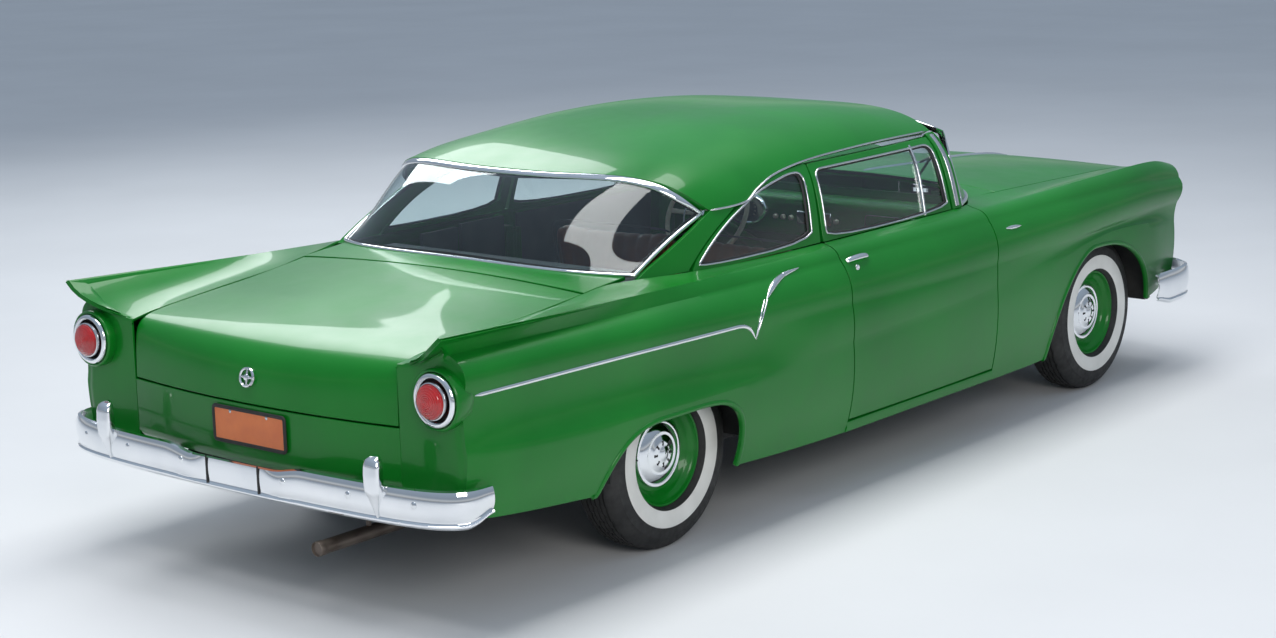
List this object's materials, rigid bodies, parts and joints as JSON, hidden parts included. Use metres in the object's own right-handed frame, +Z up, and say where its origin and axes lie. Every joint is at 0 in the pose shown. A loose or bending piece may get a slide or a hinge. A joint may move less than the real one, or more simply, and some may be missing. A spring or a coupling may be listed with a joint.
{
  "type": "two-door sedan car",
  "caption": "Late-1950s style sedan with canted tail fins, round tail lights, wraparound glass and chrome bumpers; doors, hood, trunk lid, steering and wheels move.",
  "frame": {"origin": "centre of the bounding box's base, on the ground between the wheels", "axes": "-Y is forward (front bumper), +X is the car's left side, +Z is up"},
  "size_m": [1.954, 5.12, 1.4],
  "materials": {
    "body_paint": "gloss green enamel",
    "wheel_paint": "gloss green enamel with a chrome hub cap",
    "tyre": "black rubber with a white sidewall band",
    "window_glass": "clear, faintly blue",
    "bright_metal": "polished chrome",
    "red_lens": "red lens",
    "plate": "blank orange enamel",
    "seat_cloth": "reddish-brown cloth and vinyl",
    "trim_panel": "dark grey-blue trim cloth",
    "ivory_plastic": "ivory",
    "black_steel": "semi-gloss black"
  },
  "bodies": {
    "body": {"roof": "body_paint", "pillars": "body_paint", "sail_panels": "body_paint", "quarter_panels": "body_paint", "fenders": "body_paint", "cowl_panels": "body_paint", "end_panels": "body_paint", "rockers": "body_paint", "fixed_glass": "window_glass", "floor_pan": "black_steel", "firewall": "body_paint", "inner_panels": "trim_panel", "wheelhouses": "black_steel", "frame_rails": "black_steel", "engine": "black_steel", "exhaust_and_tank": "black_steel", "front_suspension": "black_steel", "rear_axle": "black_steel", "grille": "bright_metal", "front_bumper": "bright_metal", "rear_bumper": "bright_metal", "headlights": "bright_metal", "taillights": "red_lens", "licence_plate": "plate", "dashboard": "body_paint", "front_seat": "seat_cloth", "rear_seat": "seat_cloth"},
    "hood_lid": {"hood": "body_paint"},
    "trunk_lid": {"deck_lid": "body_paint"},
    "left_door": {"door_left": "body_paint", "door_glass_left": "window_glass"},
    "right_door": {"door_right": "body_paint", "door_glass_right": "window_glass"},
    "steering": {"steering_wheel": "ivory_plastic"},
    "knuckle_left_body": {"knuckle_left": "black_steel"},
    "knuckle_right_body": {"knuckle_right": "black_steel"},
    "wheel_front_left_body": {"wheel_front_left": "wheel_paint", "tyre_front_left": "tyre"},
    "wheel_front_right_body": {"wheel_front_right": "wheel_paint", "tyre_front_right": "tyre"},
    "wheel_rear_left_body": {"wheel_rear_left": "wheel_paint", "tyre_rear_left": "tyre"},
    "wheel_rear_right_body": {"wheel_rear_right": "wheel_paint", "tyre_rear_right": "tyre"}
  },
  "joints": [
    {"name": "left_door_hinge", "type": "hinge", "parent": "body", "child": "left_door", "pos_m": [0.934, -0.675, 0.6], "axis": [0, 0, -1], "range_deg": [0, 62]},
    {"name": "right_door_hinge", "type": "hinge", "parent": "body", "child": "right_door", "pos_m": [-0.934, -0.675, 0.6], "axis": [0, 0, 1], "range_deg": [0, 62]},
    {"name": "hood_hinge", "type": "hinge", "parent": "body", "child": "hood_lid", "pos_m": [0, -2.39, 0.868], "axis": [1, 0, 0], "range_deg": [0, 48]},
    {"name": "trunk_lid_hinge", "type": "hinge", "parent": "body", "child": "trunk_lid", "pos_m": [0, 1.557, 0.985], "axis": [1, 0, 0], "range_deg": [0, 62]},
    {"name": "steer_left", "type": "hinge", "parent": "body", "child": "knuckle_left_body", "pos_m": [0.653, -1.69, 0.338], "axis": [0, 0, 1], "range_deg": [-28, 28]},
    {"name": "steer_right", "type": "hinge", "parent": "body", "child": "knuckle_right_body", "pos_m": [-0.653, -1.69, 0.338], "axis": [0, 0, 1], "range_deg": [-28, 28]},
    {"name": "steering_wheel_turn", "type": "hinge", "parent": "body", "child": "steering", "pos_m": [0.365, -0.47, 0.85], "axis": [0, 0.8829, 0.4695], "range_deg": [-448, 448]},
    {"name": "front_left_wheel_spin", "type": "hinge", "parent": "knuckle_left_body", "child": "wheel_front_left_body", "pos_m": [0.745, -1.69, 0.338], "axis": [1, 0, 0], "continuous": true},
    {"name": "front_right_wheel_spin", "type": "hinge", "parent": "knuckle_right_body", "child": "wheel_front_right_body", "pos_m": [-0.745, -1.69, 0.338], "axis": [1, 0, 0], "continuous": true},
    {"name": "rear_left_wheel_spin", "type": "hinge", "parent": "body", "child": "wheel_rear_left_body", "pos_m": [0.7165, 1.256, 0.338], "axis": [1, 0, 0], "continuous": true},
    {"name": "rear_right_wheel_spin", "type": "hinge", "parent": "body", "child": "wheel_rear_right_body", "pos_m": [-0.7165, 1.256, 0.338], "axis": [1, 0, 0], "continuous": true}
  ],
  "couplings": [
    {"joint": "steer_right", "follows": "steer_left", "ratio": 1},
    {"joint": "steering_wheel_turn", "follows": "steer_left", "ratio": 16}
  ]
}
